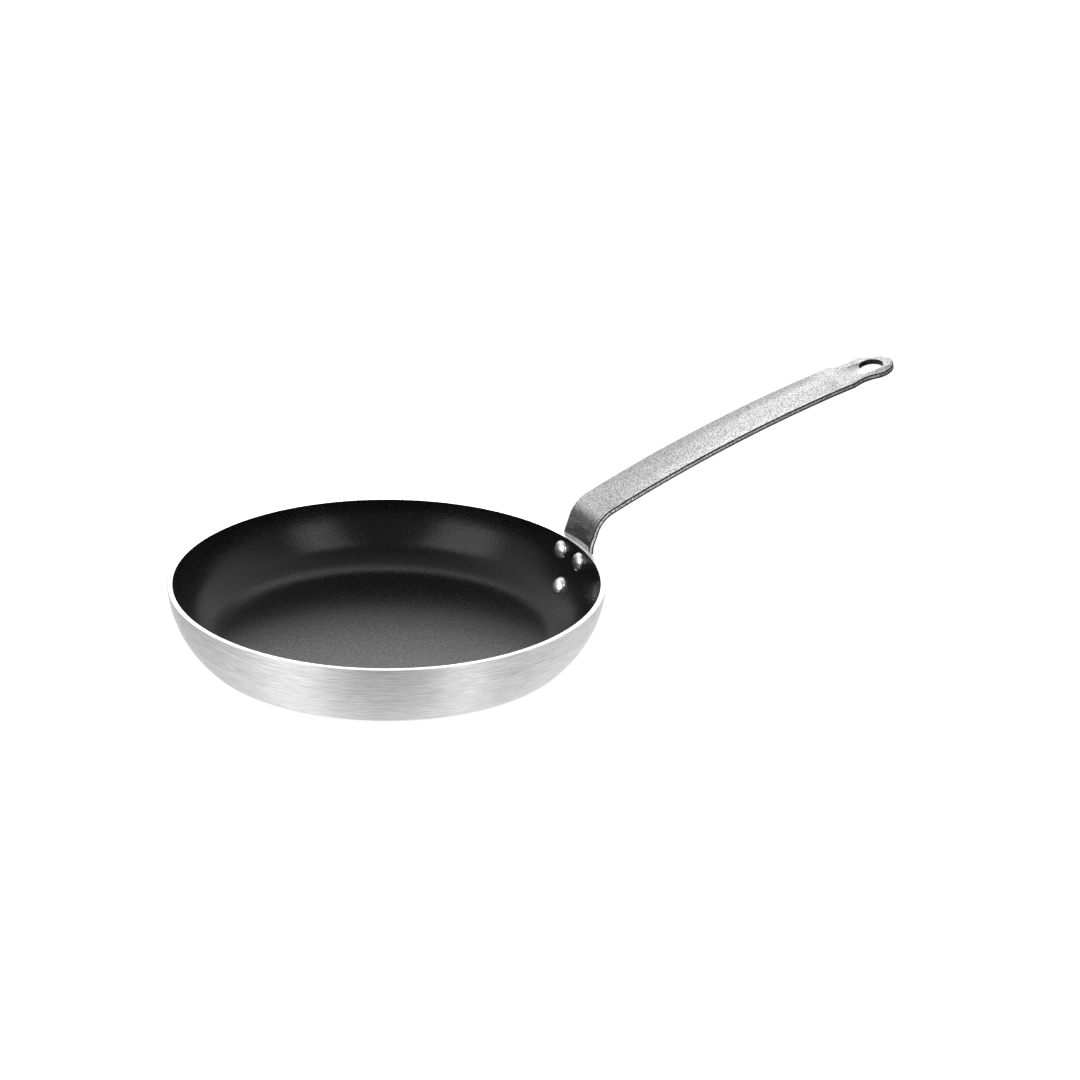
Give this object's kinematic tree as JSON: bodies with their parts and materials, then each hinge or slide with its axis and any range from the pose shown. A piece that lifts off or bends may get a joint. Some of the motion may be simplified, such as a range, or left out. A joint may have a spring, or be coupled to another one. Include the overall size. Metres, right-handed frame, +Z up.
{
  "type": "omelette pan",
  "caption": "Round shallow aluminium omelette pan with a non-stick inside and a bent strip handle, riveted on, that ends in a hanging eye.",
  "frame": {"origin": "centre of the flat face that the pan stands on", "axes": "+Z up along the bowl's axis, +X from the axis towards the handle, +Y to the left of the handle seen from the bowl"},
  "size_m": [0.5135, 0.2798, 0.1276],
  "materials": {
    "body_aluminium": "turned and brushed round the axis, with a bright machined rim",
    "nonstick": "baked black non-stick coating with a fine pale speck, satin",
    "coated_steel": "silver-grey hammered powder coat on strip steel, semi-gloss",
    "rivet_aluminium": "plain formed heads, bright"
  },
  "bodies": {
    "root": {"pan_body": "body_aluminium", "nonstick_coating": "nonstick", "handle": "coated_steel", "rivet_upper_left": "rivet_aluminium", "rivet_upper_right": "rivet_aluminium", "rivet_lower": "rivet_aluminium"}
  },
  "joints": []
}
